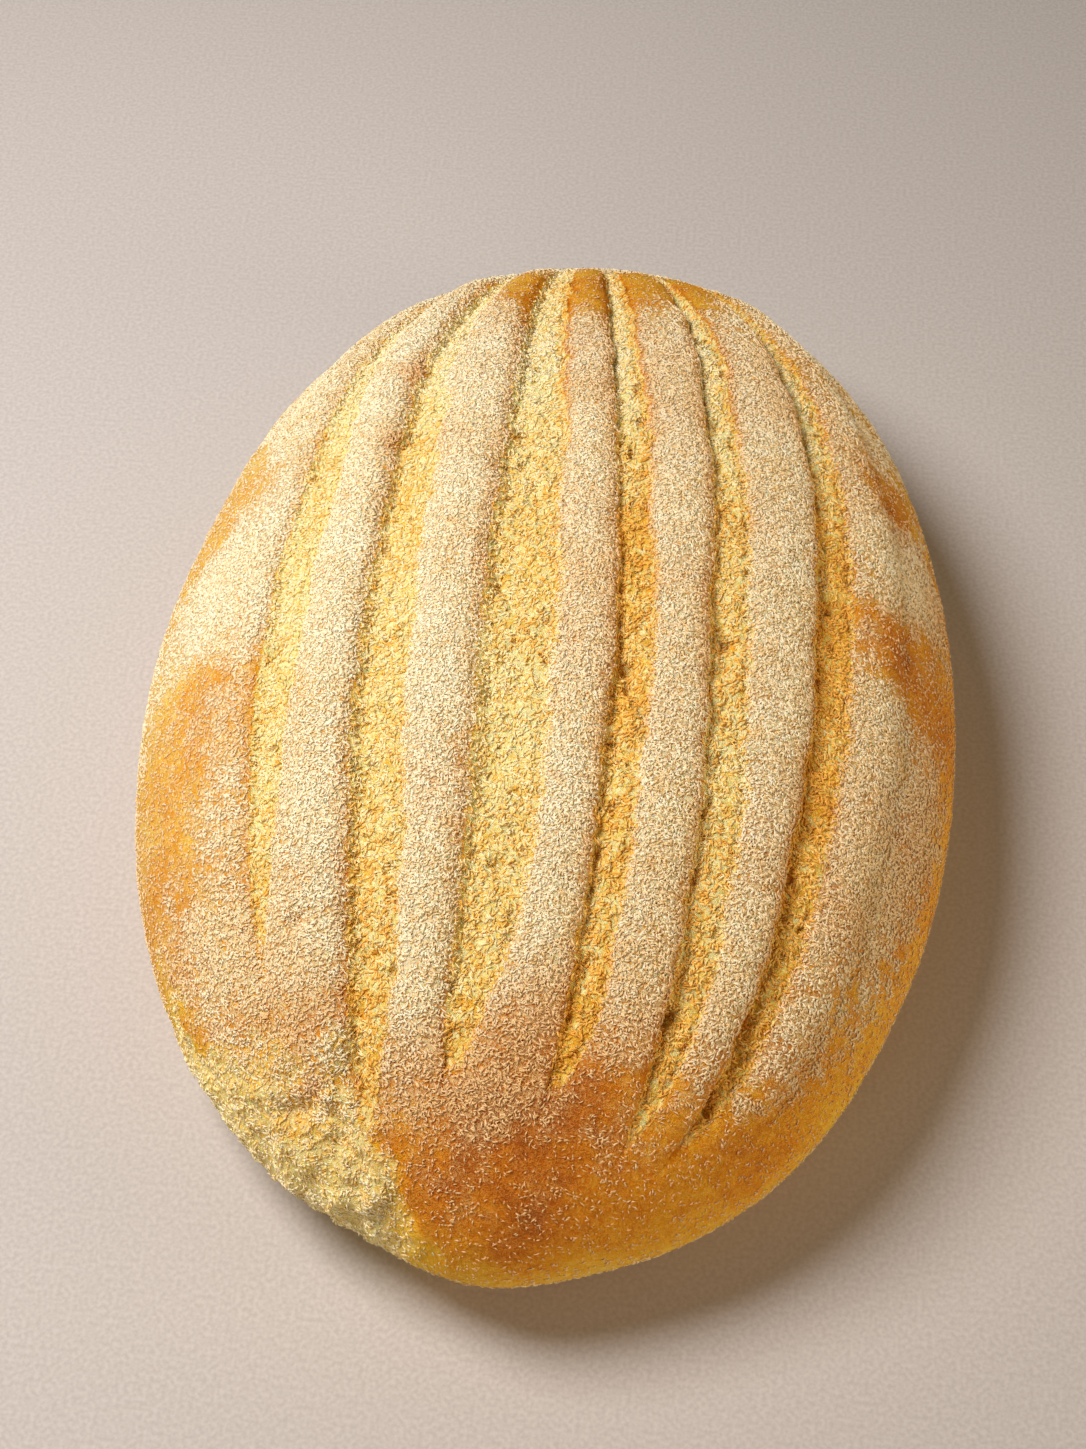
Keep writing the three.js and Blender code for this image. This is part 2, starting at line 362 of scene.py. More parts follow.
def cut_relief(across, along, grooves):
    """Height of strips and grooves, and where crumb, bare floors, walls (browned, with painted
    shade) and lips lie.
    """
    relief = np.zeros_like(across)
    lies = {name: np.zeros_like(across) for name in ("crumb", "golden_and_shade", "bare", "wall", "lip")}
    start = grooves[0][0] - FLANK_STRIP
    for cut, (left, width, depth) in zip(CUTS, grooves):
        right = left + width
        strength = np.minimum(depth / FULL_DEPTH, 1)[:, None]
        opened = ease(depth / OPEN_DEPTH)[:, None]
        share = np.clip((across - start[:, None]) / (left - start)[:, None], 0, 1)
        relief += STRIP_RISE * strength * np.sin(math.pi * share ** STRIP_LEAN) ** STRIP_ROUNDNESS
        share = (across - left[:, None]) / width[:, None]
        floor = 1 - (1 - LIP_DROP) * ramp(share, WALL_SHARE, 1)
        drop = np.where(share < WALL_SHARE, ramp(share, 0, WALL_SHARE), floor)
        relief -= np.where((share > 0) & (share < 1), drop, 0) * depth[:, None]
        crumb = within(share, *CRUMB_SPAN) * opened
        lies["crumb"] = np.maximum(lies["crumb"], crumb)
        lies["golden_and_shade"] += cut[-1] * crumb
        lies["bare"] = np.maximum(lies["bare"], within(share, *BARE_SPAN) * opened)
        wall = hump(across - left[:, None], WALL_LINE, WALL_LINE_SPREAD) * strength
        lies["wall"] = np.maximum(lies["wall"], wall)
        browned = (ease(along / LIPS_FADE) * (right > LIPS_FROM))[:, None]
        lip = hump(across, right[:, None], LIP_LINE_SPREAD) * strength * browned
        lies["lip"] = np.maximum(lies["lip"], lip)
        start = right
    share = np.clip((across - start[:, None]) / FLANK_STRIP, 0, 1)
    relief += STRIP_RISE * strength * np.sin(math.pi * share) ** FLANK_ROUNDNESS
    return relief, lies


def tear_at(points):
    """How far each point is into the torn patch, from 0 to 1."""
    turn = np.degrees(np.arctan2(points[..., Y] / HALF_LENGTH, points[..., X] / HALF_WIDTH)) % 360
    offset = turn - TEAR_TURN
    sides = zip(TEAR_LEFT, TEAR_RIGHT)
    spread, fall, power = (np.where(offset < 0, left, right) for left, right in sides)
    far = np.maximum(np.abs(offset) / spread + lumps(points, TEAR_SIDE_RAGS), 0)
    top = TEAR_TOP - fall * far ** power + lumps(points, TEAR_TOP_RAGS)
    below = (top - points[..., Z]) / TEAR_EDGE + 0.5
    return ease(below) * ease((TEAR_END - far) * spread / TEAR_EDGE)


def relief_at(base, crumb, tear):
    """Height of the surface's own lumps, pits and hollows, and where the single holes are."""
    rough = np.clip(crumb + TEAR_ROUGHNESS * tear, 0, 1)
    relief = lumps(base, SWELLS) + tear * (lumps(base, CRAGS) + dots(base, *TORN_KNOBS) - TEAR_SINK)
    relief += rough * (lumps(base, CRUMB_LUMPS) - dots(base, *CRUMB_PITS))
    relief += (1 - rough) * lumps(base, CRUST_LUMPS) - crumb * dots(base, *CRUMB_HOLES)
    holed = np.zeros_like(relief)
    for x, y, z, reach, depth in HOLLOWS:
        hollow = hump(distance(base, (x, y, z)), 0, reach)
        relief -= depth * hollow
        if reach < SMALL_HOLE:
            holed = np.maximum(holed, hollow)
    return relief, holed


# Brown places of the crust: where each is, how far it reaches and how dark it is
OVEN_MARKS = (
    (69, 45, 46, 10, 0.30),
    (70, 2, 51, 12, 0.34),
    (80, -10, 36, 13, 0.14),
    (80, 25, 34, 12, 0.10),
    (-68, -25, 53, 20, 0.19),
    (-80, -10, 34, 24, -0.26),
    (74, -36, 42, 26, 0.12),
    (-37, -97, 46, 14, 0.14),
    # This one lies in the gully of the torn patch: browner crust there, partly painted shade in the
    # hollow.
    (-39, -106, 37, 6, 0.12),
    (-46, -15, 62, 32, -0.08),
    (-48, 55, 54, 30, -0.08),
    (6, -5, 71, 20, 0.10),
    (-20, -25, 70, 18, -0.08),
    (16, 62, 63, 24, 0.03),
    # This one is paler as painted light, lifting the shade among the dense grains there.
    (-16, -82, 60, 16, -0.08),
    (50, -60, 52, 20, 0.07),
    (20, -102, 49, 12, 0.16),
    (3, -94, 56, 14, 0.14),
    (3, -112, 45, 14, 0.25),
    (-16, -121, 30, 12, -0.14),
    (3, -118, 38, 14, 0.14),
    (-18, -115, 39, 12, 0.14),
    (1, 92, 56, 15, 0.08),
    (17, 100, 50, 15, 0.10),
    (-12, 94, 54, 12, 0.08),
    (-36, 60, 61, 5, 0.20),
    (-35, 38, 65, 5, 0.14),
    (50, 72, 51, 22, 0.06),
)

# Floury places above zero and bare ones below: where each is, how far it reaches and how much
MEAL_MARKS = (
    (-64, 8, 55, 20, 0.30),
    (-79, 22, 41, 18, -0.60),
    (-70, -24, 50, 22, -0.76),
    (-85, -20, 26, 14, 0.35),
    (-74, -50, 44, 18, -0.50),
    (-73, 38, 43, 19, -0.85),
    (-60, -66, 48, 22, -0.38),
    (-42, -94, 46, 18, -0.36),
    (76, 22, 45, 11, 0.50),
    (69, 46, 45, 13, -0.80),
    (70, 1, 51, 14, -0.74),
    (40, -103, 40, 15, -0.35),
    (80, -10, 38, 14, -0.35),
    (62, -74, 40, 18, -0.20),
    (21, -101, 50, 13, -0.38),
    (5, -112, 44, 9, -0.12),
    (4, -92, 57, 10, -0.06),
    (1, 94, 55, 15, -0.95),
    (17, 102, 50, 15, -0.90),
    (-14, 96, 53, 12, -0.60),
    (52, 74, 49, 20, -0.20),
    (-36, 60, 61, 5, -0.40),
)


# The crust's browning: even, then trends with how much each adds and the stretches that it comes
# in over, each with its axis, where it starts and where it is full
EVEN_BAKE = 0.36
BAKE_TRENDS = (
    (0.08, (Z, 50, 34), (Y, 70, 0)),
    (0.06, (Y, -78, -108)),
    (0.03, (Y, 30, 70), (Z, 42, 58)),
    (-0.16, (Z, 30, 16)),
    (0.26, (Z, 6, 1)),
)
BAKE_PATCHES = ((0.05, 17, 44), (0.04, 6, 45))

# The meal, in the same way: how thin it gets, the steepness over which it thickens, where there is
# more and less of it, and how uneven it is
THINNEST = 0.14
THINNEST_GAINS = (
    (0.11, (X, 0, -70), (Y, -95, -65)),
    (0.04, (X, 0, 70), (Y, -95, -65)),
)
LEVEL_SPAN = (0.18, 0.85)
LEFT_GAIN = (0.08, (X, 0, -60))
RIGHT_LOSS = (0.12, (X, 0, 75))
END_LOSSES = ((0.37, (Y, -80, -105)), (0.22, (Y, 58, 83)), (0.66, (Y, -103, -116)))
MEAL_PATCHES = ((0.10, 20, 51), (0.14, 7, 52), (0.20, 2.6, 53))
MEAL_SPECKS = (((0.34, (X, 0, 75)), 2.1, 56), ((0.12, (X, 0, -75)), 2.4, 57))
EVEN_FROM = 0.25
FOOT_SPAN = (3, 11)

# The crumb's golden tone, partly painted shade in the right-hand grooves, and the meal on it,
# with what walls, lips, holes and the torn patch change
GOLDEN_AND_SHADE_EVEN = 0.9
GOLDEN_AND_SHADE_PATCHES = ((0.6, 9.0, 68),)
GOLDEN_AND_SHADE_STRETCH = (1.0, (Y, 50, 10))
GOLDEN_AND_SHADE_NEAR_LOSS = (0.5, (Y, -35, -75))
# The crumb paler towards the far end and darker towards the near end, the latter partly its own
# browning and partly painted shade on the near slopes.
CRUMB_TRENDS = ((-0.22, (Y, 20, 70)), (0.09, (Y, -45, -85)))
# The single holes are painted browner: painted shade in them.
HOLE_SHADE = 0.06
# The walls' darkening is browning and painted shade on the strips' shaded right shoulders.
WALL_BROWNING_AND_SHADE = 0.10
LIP_BAKE = 0.30
TEAR_PALENESS = 0.26
CLUMPS_EVEN = 0.22
CLUMPS = ((0.18, 5.5, 54), (0.16, 2.8, 55))
WALL_LOSS = 0.3
LIP_LOSS = 0.85
FLOOR_LOSS = 0.96
FLOOR_FAR_GAIN = (0.45, (Y, 35, 75))
TEAR_LOOK = 0.55
# In the holes the crumb colour gives way to the browner crust colour, as painted shade, and fewer
# shreds stand there.
HOLE_LOOK = 0.42
HOLE_FULL = 0.8

# How far the marks stray from round, and over what distance
STRAY = 4
STRAY_CELL = 11
STRAY_SEEDS = (41, 42, 43)


def marked(points, marks):
    """The marks added up, each one's edge strayed from round."""
    stray = STRAY * np.stack([noise(points, STRAY_CELL, seed) for seed in STRAY_SEEDS], -1)
    total = np.zeros(points.shape[:-1])
    for x, y, z, reach, strength in marks:
        total += strength * hump(distance(points + stray, (x, y, z)), 0, reach)
    return total


def bake_at(points):
    """How brown the crust is, from 0 pale to 1 dark."""
    bake = EVEN_BAKE + trends(points, BAKE_TRENDS)
    return np.clip(bake + marked(points, OVEN_MARKS) + lumps(points, BAKE_PATCHES), 0, 1)


def dust_at(points):
    """How thickly the meal lies: thick where the crust faces up, thin on flanks and marks."""
    dust = THINNEST + (1 - THINNEST) * ramp(outward(points)[..., Z], *LEVEL_SPAN)
    dust += trend(points, *LEFT_GAIN)
    for loss in END_LOSSES:
        dust *= 1 - trend(points, *loss)
    dust -= trend(points, *RIGHT_LOSS)
    uneven = marked(points, MEAL_MARKS) + lumps(points, MEAL_PATCHES)
    for amount, cell, seed in MEAL_SPECKS:
        uneven += trend(points, *amount) * noise(points, cell, seed)
    thinnest = THINNEST + trends(points, THINNEST_GAINS)
    dust = np.clip(dust + uneven * ease(dust / EVEN_FROM), thinnest, 1)
    return dust * ramp(points[..., Z], *FOOT_SPAN)


def readings_at(base, lies, tear, holed):
    """What the materials read: how much is crumb, how brown it is and how thick the meal lies.
    The browning also holds painted shade in the walls, the holes and the shaded grooves.
    """
    golden_and_shade = lies["golden_and_shade"] * (GOLDEN_AND_SHADE_EVEN + lumps(base, GOLDEN_AND_SHADE_PATCHES))
    golden_and_shade *= trend(base, *GOLDEN_AND_SHADE_STRETCH) * (1 - trend(base, *GOLDEN_AND_SHADE_NEAR_LOSS))
    bake = bake_at(base) + golden_and_shade + lies["crumb"] * trends(base, CRUMB_TRENDS) + HOLE_SHADE * holed
    bake += WALL_BROWNING_AND_SHADE * lies["wall"] + LIP_BAKE * lies["lip"] - TEAR_PALENESS * tear
    dust = np.maximum(dust_at(base), tear * (CLUMPS_EVEN + lumps(base, CLUMPS)))
    dust *= (1 - WALL_LOSS * lies["wall"]) * (1 - LIP_LOSS * lies["lip"])
    dust *= 1 - FLOOR_LOSS * lies["bare"] * (1 - trend(base, *FLOOR_FAR_GAIN))
    crumb = lies["crumb"] + TEAR_LOOK * tear - HOLE_LOOK * ease(holed / HOLE_FULL)
    return {"crumb": np.clip(crumb, 0, 1), "bake": np.clip(bake, 0, 1), "dust": dust}


def draw_ball_out(name, points):
    """A ball drawn out to the points, with a ring for each row of them. Then, for each corner of
    the mesh, the row and the line that it is on."""
    lines = points.shape[1]
    bpy.ops.object.select_all(action="DESELECT")
    bpy.ops.mesh.primitive_uv_sphere_add(
        segments=lines, ring_count=STATIONS, radius=1, rotation=(-math.pi / 2, 0, 0))
    bpy.ops.object.transform_apply(location=False, rotation=True, scale=False)
    skin = bpy.context.object
    skin.name = skin.data.name = name
    ball = np.empty(len(skin.data.vertices) * 3)
    skin.data.vertices.foreach_get("co", ball)
    ball = ball.reshape(-1, 3)
    ring = np.rint((np.degrees(np.arcsin(np.clip(ball[:, Y], -1, 1))) + 90) * STATIONS / 180)
    line = np.rint((np.degrees(np.arctan2(ball[:, X], ball[:, Z])) + 90) * lines / 360)
    line = line.astype(int) % lines
    row = np.clip(ring.astype(int) - 1, 0, STATIONS - 2)
    tips = (ring == 0) | (ring == STATIONS)
    shape = points[row, line]
    shape[tips] = loaf_form(ball[tips, X] * 0, ball[tips, Y], ball[tips, Z] * 0)
    skin.data.vertices.foreach_set("co", ((shape + SHIFT) * MM).ravel())
    skin.data.update()
    return skin, row, line


def make_skin():
    along = -90 + 180 * np.arange(1, STATIONS) / STATIONS
    across, grooves = lay_lines(along)
    t = np.radians(along)[:, None]
    a = np.radians(across)
    base = loaf_form(np.cos(t) * np.sin(a), np.sin(t) * np.ones_like(a), np.cos(t) * np.cos(a))
    cut, lies = cut_relief(across, along, grooves)
    tear = tear_at(base)
    relief, holed = relief_at(base, lies["crumb"], tear)
    # The surface's own relief fades out towards the foot, which stays flat
    relief = relief * ramp(base[..., Z], 0, GIRTH_HEIGHT / 2) + cut
    skin, row, line = draw_ball_out("loaf_skin", base + outward(base) * relief[..., None])
    for name, values in readings_at(base, lies, tear, holed).items():
        layer = skin.data.attributes.new(name, "FLOAT", "POINT")
        layer.data.foreach_set("value", values[row, line].astype(np.float32))
    bpy.ops.object.shade_smooth()
    return skin


loaf_skin = make_skin()
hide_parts("loaf")
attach(loaf_skin, "root")


def paint(red, green, blue):
    """A colour as seen, 0 to 255, in the shader's own linear values."""
    linear = [(c / 255 / 12.92 if c < 11 else ((c / 255 + 0.055) / 1.055) ** 2.4)
              for c in (red, green, blue)]
    return (*linear, 1.0)


def feed(tree, socket, value):
    """Joins a socket to an output, or gives it a value."""
    if isinstance(value, bpy.types.NodeSocket):
        tree.links.new(value, socket)
    else:
        socket.default_value = value


def add_node(tree, kind, settings=(), **sockets):
    """One node: its settings, then each socket given a value or joined to an output."""
    made = tree.nodes.new(kind)
    for name, value in dict(settings).items():
        setattr(made, name, value)
    for name, value in sockets.items():
        feed(tree, made.inputs[name], value)
    return made


# Where a Mix node set to colours has its share, its two colours and its result
MIX_INPUTS = (0, 6, 7)
MIX_RESULT = 2


def mix_colours(tree, share, first, second):
    made = add_node(tree, "ShaderNodeMix", {"data_type": "RGBA"})
    for index, value in zip(MIX_INPUTS, (share, first, second)):
        feed(tree, made.inputs[index], value)
    return made.outputs[MIX_RESULT]


def colour_ramp(tree, share, stops):
    made = add_node(tree, "ShaderNodeValToRGB", Fac=share)
    ramp = made.color_ramp
    while len(ramp.elements) < len(stops):
        ramp.elements.new(0.5)
    for element, (place, colour) in zip(ramp.elements, stops):
        element.position = place
        element.color = colour
    return made.outputs["Color"]


def reading(tree, name):
    return add_node(tree, "ShaderNodeAttribute", {"attribute_name": name}).outputs["Fac"]


def object_noise(tree, size, detail=2.0, roughness=0.5):
    """Noise over the object whose lumps are about `size` millimetres across."""
    where = add_node(tree, "ShaderNodeTexCoord").outputs["Object"]
    made = add_node(tree, "ShaderNodeTexNoise", Vector=where, Scale=1 / (size * MM),
                    Detail=detail, Roughness=roughness)
    return made.outputs["Fac"]


def math_node(tree, operation, *values):
    made = add_node(tree, "ShaderNodeMath", {"operation": operation})
    for socket, value in zip(made.inputs, values):
        feed(tree, socket, value)
    return made.outputs[0]


def spread(tree, value, low, high):
    made = add_node(tree, "ShaderNodeMapRange", {"interpolation_type": "SMOOTHSTEP"}, Value=value)
    made.inputs["From Min"].default_value = low
    made.inputs["From Max"].default_value = high
    return made.outputs["Result"]


# Colours of pale to dark crust, of crumb from its folds to its tops, and of meal. The crumb's
# folds are darker as painted shade.
CRUST_COLOURS = (
    (0.05, paint(250, 206, 92)),
    (0.25, paint(249, 194, 44)),
    (0.42, paint(244, 168, 24)),
    (0.58, paint(226, 136, 12)),
    (0.75, paint(188, 95, 6)),
    (1.0, paint(132, 60, 4)),
)
CRUMB_COLOURS = (
    (0.28, paint(242, 174, 52)),
    (0.44, paint(251, 210, 102)),
    (0.64, paint(254, 235, 168)),
)
MEAL_COLOURS = (
    (0.0, paint(244, 208, 148)),
    (0.4, paint(254, 234, 190)),
    (1.0, paint(255, 246, 217)),
)
TOASTED_MEAL = paint(240, 190, 130)


def open_group(name, inputs, outputs):
    """A node group with its sockets: inputs with their own values, and outputs."""
    tree = bpy.data.node_groups.new(name, "ShaderNodeTree")
    for label, value in inputs.items():
        socket = tree.interface.new_socket(label, in_out="INPUT", socket_type="NodeSocketFloat")
        socket.default_value = value
    for label, kind in outputs.items():
        tree.interface.new_socket(label, in_out="OUTPUT", socket_type=kind)
    return tree, tree.nodes.new("NodeGroupInput").outputs, tree.nodes.new("NodeGroupOutput").inputs


def flecks_group():
    """Short winding ridges that lie close together, like meal and torn crumb seen near."""
    tree, given, put = open_group("flecks", {"Scale": 900.0}, {"Height": "NodeSocketFloat"})
    where = add_node(tree, "ShaderNodeTexCoord").outputs["Object"]
    ridges = []
    for shift in (0.0, 3.7):
        moved = add_node(tree, "ShaderNodeVectorMath", {"operation": "ADD"})
        feed(tree, moved.inputs[0], where)
        feed(tree, moved.inputs[1], (shift, shift, shift))
        field = add_node(tree, "ShaderNodeTexNoise", Vector=moved.outputs[0],
                         Scale=given["Scale"], Detail=1.0, Roughness=0.6, Distortion=0.9)
        off = math_node(tree, "ABSOLUTE", math_node(tree, "SUBTRACT", field.outputs["Fac"], 0.5))
        ridges.append(math_node(tree, "SUBTRACT", 1.0, math_node(tree, "MULTIPLY", off, 9.0)))
    height = math_node(tree, "MAXIMUM", *ridges)
    tree.links.new(math_node(tree, "MAXIMUM", height, 0.0), put["Height"])
    return tree


def meal_group():
    """Meal's colour from a grain's own tone and from how brown the crust under it is."""
    tree, given, put = open_group(
        "meal_colour", {"Tone": 0.5, "Bake": 0.4}, {"Colour": "NodeSocketColor"})
    whiter = math_node(tree, "SUBTRACT", 0.36, given["Bake"])
    tone = math_node(tree, "ADD", given["Tone"], math_node(tree, "MULTIPLY", whiter, 1.2))
    pale = colour_ramp(tree, tone, MEAL_COLOURS)
    toasted = math_node(tree, "MULTIPLY", spread(tree, given["Bake"], 0.33, 0.62), 0.70)
    tree.links.new(mix_colours(tree, toasted, pale, TOASTED_MEAL), put["Colour"])
    return tree


def mottle_group():
    """Slow and quick changes of tone over the object, about zero."""
    tree, given, put = open_group("mottle", {"Amount": 1.0}, {"Value": "NodeSocketFloat"})
    slow = math_node(tree, "SUBTRACT", object_noise(tree, 14.0, 2.0), 0.5)
    quick = math_node(tree, "SUBTRACT", object_noise(tree, 3.2, 3.0), 0.5)
    both = math_node(tree, "ADD", slow, quick)
    tree.links.new(math_node(tree, "MULTIPLY", both, given["Amount"]), put["Value"])
    return tree


FLECKS = flecks_group()
MEAL = meal_group()
MOTTLE = mottle_group()


def grouped(tree, group, **sockets):
    made = add_node(tree, "ShaderNodeGroup", {"node_tree": group}, **sockets)
    return made.outputs[0]


def start_material(name):
    """A material, its node tree and its Principled shader."""
    material = bpy.data.materials.new(name)
    material.use_nodes = True
    return material, material.node_tree, material.node_tree.nodes["Principled BSDF"]


def crust_material():
    material, tree, shader = start_material("crust")
    dust = reading(tree, "dust")
    flecks = grouped(tree, FLECKS, Scale=1 / (0.95 * MM))
    mottle = grouped(tree, MOTTLE, Amount=0.35)
    bake = math_node(tree, "ADD", reading(tree, "bake"), mottle)
    rubbed = math_node(tree, "SUBTRACT", bake, math_node(tree, "MULTIPLY", flecks, 0.15))
    crust = colour_ramp(tree, math_node(tree, "ADD", rubbed, 0.05), CRUST_COLOURS)
    torn = reading(tree, "crumb")
    # Under thick meal the crust turns a duller, darker brown: partly its own colour seen between the
    # grains, partly painted shade between them.
    shaded = math_node(tree, "SUBTRACT", math_node(tree, "MULTIPLY", dust, 0.7), torn)
    gaps_and_shade = colour_ramp(tree, bake, ((0.24, paint(216, 164, 110)), (0.42, paint(186, 128, 72))))
    crust = mix_colours(tree, math_node(tree, "MAXIMUM", shaded, 0.0), crust, gaps_and_shade)
    floured = math_node(tree, "ADD", math_node(tree, "MULTIPLY", dust, 1.1), flecks)
    cover = math_node(tree, "MULTIPLY", spread(tree, floured, 0.95, 1.45), 0.88)
    tone = math_node(tree, "ADD", object_noise(tree, 1.3, 2.0), mottle)
    crust = mix_colours(tree, cover, crust, grouped(tree, MEAL, Tone=tone, Bake=bake))
    # Crumb tone: paler on the fleck ridges and darker in their folds as painted shade, with random
    # patches, and darker where the browning is higher.
    curl = math_node(tree, "MULTIPLY_ADD", flecks, 0.28, object_noise(tree, 3.0, 3.0, 0.6))
    pale = math_node(tree, "SUBTRACT", curl, math_node(tree, "MULTIPLY", bake, 0.6))
    crumb = colour_ramp(tree, math_node(tree, "ADD", pale, 0.16), CRUMB_COLOURS)
    torn = math_node(tree, "ADD", torn, math_node(tree, "MULTIPLY", object_noise(tree, 1.2), 0.5))
    colour = mix_colours(tree, spread(tree, torn, 0.50, 0.95), crust, crumb)
    tree.links.new(colour, shader.inputs["Base Color"])
    shader.inputs["Roughness"].default_value = 0.8
    shader.inputs["Specular IOR Level"].default_value = 0.10
    shader.inputs["Subsurface Weight"].default_value = 0.35
    shader.inputs["Subsurface Radius"].default_value = (1.0, 0.5, 0.2)
    shader.inputs["Subsurface Scale"].default_value = 1.5 * MM
    bump = add_node(tree, "ShaderNodeBump", Strength=0.7, Distance=0.35 * MM, Height=flecks)
    tree.links.new(bump.outputs["Normal"], shader.inputs["Normal"])
    return material


loaf_skin.data.materials.append(crust_material())


# ---------------------------------------------------------------------------------------------
# Meal. Coarse pale meal was sifted over the dough before it was cut, so it lies thick on the
# strips and flanks and not in the grooves. Each grain is a small bent spindle stuck to the crust.
# ---------------------------------------------------------------------------------------------
GRAINS_A_PIECE = 24500
# Each kind's seed, then its least and greatest length and width
MEAL_KINDS = (
    ("meal_long", 101, (1.4, 2.3), (0.38, 0.54)),
    ("meal_middling", 102, (1.2, 1.8), (0.38, 0.52)),
    ("meal_short", 103, (0.9, 1.4), (0.38, 0.52)),
    ("meal_broken", 105, (0.7, 1.1), (0.38, 0.52)),
)
MEAL_BEND = 0.18
MEAL_TILT = 25
MEAL_LIFT = 0.12
# How strongly the grains keep to where the meal lies thick
MEAL_CLOSENESS = 1.15
# Where meal counts as thick, and how much smaller and browner its grains are where it is thin
THICK_MEAL = 0.45
THIN_SIZE = 0.62
THIN_BAKE = 0.10


def in_own_order(triangles):
    """The triangles, each from its lowest corner on, and sorted: Blender welds a new ball's faces
    in another order on each run, and what is sown on them has to come out the same."""
    turned = (triangles.argmin(1)[:, None] + np.arange(3)) % 3
    triangles = np.take_along_axis(triangles, turned, 1)
    return triangles[np.lexsort(triangles.T[::-1])]


def skin_faces():
    """The skin's triangles with their corners' places, normals and readings."""
    mesh = loaf_skin.data
    mesh.calc_loop_triangles()
    corners = np.empty(len(mesh.loop_triangles) * 3, dtype=np.int32)
    mesh.loop_triangles.foreach_get("vertices", corners)
    corners = in_own_order(corners.reshape(-1, 3))
    places = np.empty(len(mesh.vertices) * 3)
    mesh.vertices.foreach_get("co", places)
    normals = np.empty(len(mesh.vertices) * 3)
    mesh.vertex_normals.foreach_get("vector", normals)
    readings = {}
    for name in ("crumb", "bake", "dust"):
        values = np.empty(len(mesh.vertices), dtype=np.float32)
        mesh.attributes[name].data.foreach_get("value", values)
        readings[name] = values
    return corners, places.reshape(-1, 3) / MM, normals.reshape(-1, 3), readings


corners, skin_places, skin_normals, readings = skin_faces()
sides = skin_places[corners[:, 1:]] - skin_places[corners[:, :1]]
face_areas = np.linalg.norm(np.cross(sides[:, 0], sides[:, 1]), axis=1) / 2


def sow(count, thickness, seed):
    """Random places on the skin, as many to an area as `thickness` says there, with the skin's
    normal and browning at each and how thick it lies."""
    draw = np.random.default_rng(seed)
    weight = face_areas * thickness[corners].mean(1)
    chosen = draw.choice(len(corners), count, p=weight / weight.sum())
    shares = draw.random((count, 2))
    shares = np.where(shares.sum(1, keepdims=True) > 1, 1 - shares, shares)
    shares = np.column_stack([1 - shares.sum(1), shares])[..., None]
    at = (skin_places[corners[chosen]] * shares).sum(1)
    normal = (skin_normals[corners[chosen]] * shares).sum(1)
    normal /= np.linalg.norm(normal, axis=1, keepdims=True)
    bake, thick = ((values[corners[chosen]] * shares[..., 0]).sum(1)
                   for values in (readings["bake"], thickness))
    return draw, at, normal, bake, ease(thick / THICK_MEAL)


def model_grain():
    """One grain of unit length along Z: a square poked out to a tip on either side."""
    bpy.ops.object.select_all(action="DESELECT")
    bpy.ops.mesh.primitive_plane_add(size=math.sqrt(0.5))
    bpy.ops.object.mode_set(mode="EDIT")
    bpy.ops.mesh.duplicate()
    bpy.ops.mesh.flip_normals()
    bpy.ops.mesh.select_all(action="SELECT")
    bpy.ops.mesh.poke(offset=0.5)
    bpy.ops.mesh.select_all(action="SELECT")
    bpy.ops.mesh.remove_doubles()
    bpy.ops.object.mode_set(mode="OBJECT")
    grain = bpy.context.object
    shape = np.array([vertex.co[:] for vertex in grain.data.vertices])
    faces = np.array([face.vertices[:] for face in grain.data.polygons])
    bpy.data.objects.remove(grain)
    return shape, in_own_order(faces)


grain_shape, grain_faces = model_grain()


def make_grains(name, count, thickness, seed, length, width, bend, tilt, lift):
    """Grains sown on the skin, joined in one mesh. Sizes are (least, greatest) where they lie thick,
    and where they lie thin they are smaller and browner."""
    draw, at, normal, bake, thick = sow(count, thickness, seed)
    size = THIN_SIZE + (1 - THIN_SIZE) * thick
    loose = draw.normal(size=(count, 3))
    lying = np.cross(normal, loose)
    lying /= np.linalg.norm(lying, axis=1, keepdims=True)
    rise = np.radians(draw.uniform(-tilt, tilt, count))[:, None]
    along_axis = lying * np.cos(rise) + normal * np.sin(rise)
    side_axis = np.cross(normal, along_axis)
    side_axis /= np.linalg.norm(side_axis, axis=1, keepdims=True)
    up_axis = np.cross(along_axis, side_axis)
    long = (size * draw.uniform(*length, count))[:, None]
    wide = (size * draw.uniform(*width, count))[:, None]
    bow = draw.uniform(-bend, bend, count)[:, None]
    middle = (np.abs(grain_shape[:, 2]) < 0.1)[None, :]
    sideways = grain_shape[None, :, 0] * wide + middle * bow * long
    points = (
        at[:, None, :]
        + along_axis[:, None, :] * (grain_shape[None, :, 2] * long)[..., None]
        + side_axis[:, None, :] * sideways[..., None]
        + up_axis[:, None, :] * (grain_shape[None, :, 1] * wide + lift)[..., None]
    )
    first = np.arange(count)[:, None, None] * len(grain_shape)
    faces = (grain_faces[None] + first).reshape(-1, 3)
    mesh = bpy.data.meshes.new(name)
    mesh.vertices.add(count * len(grain_shape))
    mesh.vertices.foreach_set("co", (points * MM).ravel())
    mesh.loops.add(faces.size)
    mesh.loops.foreach_set("vertex_index", faces.ravel())
    mesh.polygons.add(len(faces))
    mesh.polygons.foreach_set("loop_start", np.arange(len(faces)) * 3)
    mesh.update(calc_edges=True)
    tone = draw.random(count)
    for label, values in (("tone", tone), ("bake", bake + THIN_BAKE * (1 - thick))):
        layer = mesh.attributes.new(label, "FLOAT", "POINT")
        layer.data.foreach_set("value", np.repeat(values, len(grain_shape)).astype(np.float32))
    mesh.shade_smooth()
    grains = bpy.data.objects.new(name, mesh)
    bpy.context.collection.objects.link(grains)
    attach(grains, "root")
    return grains


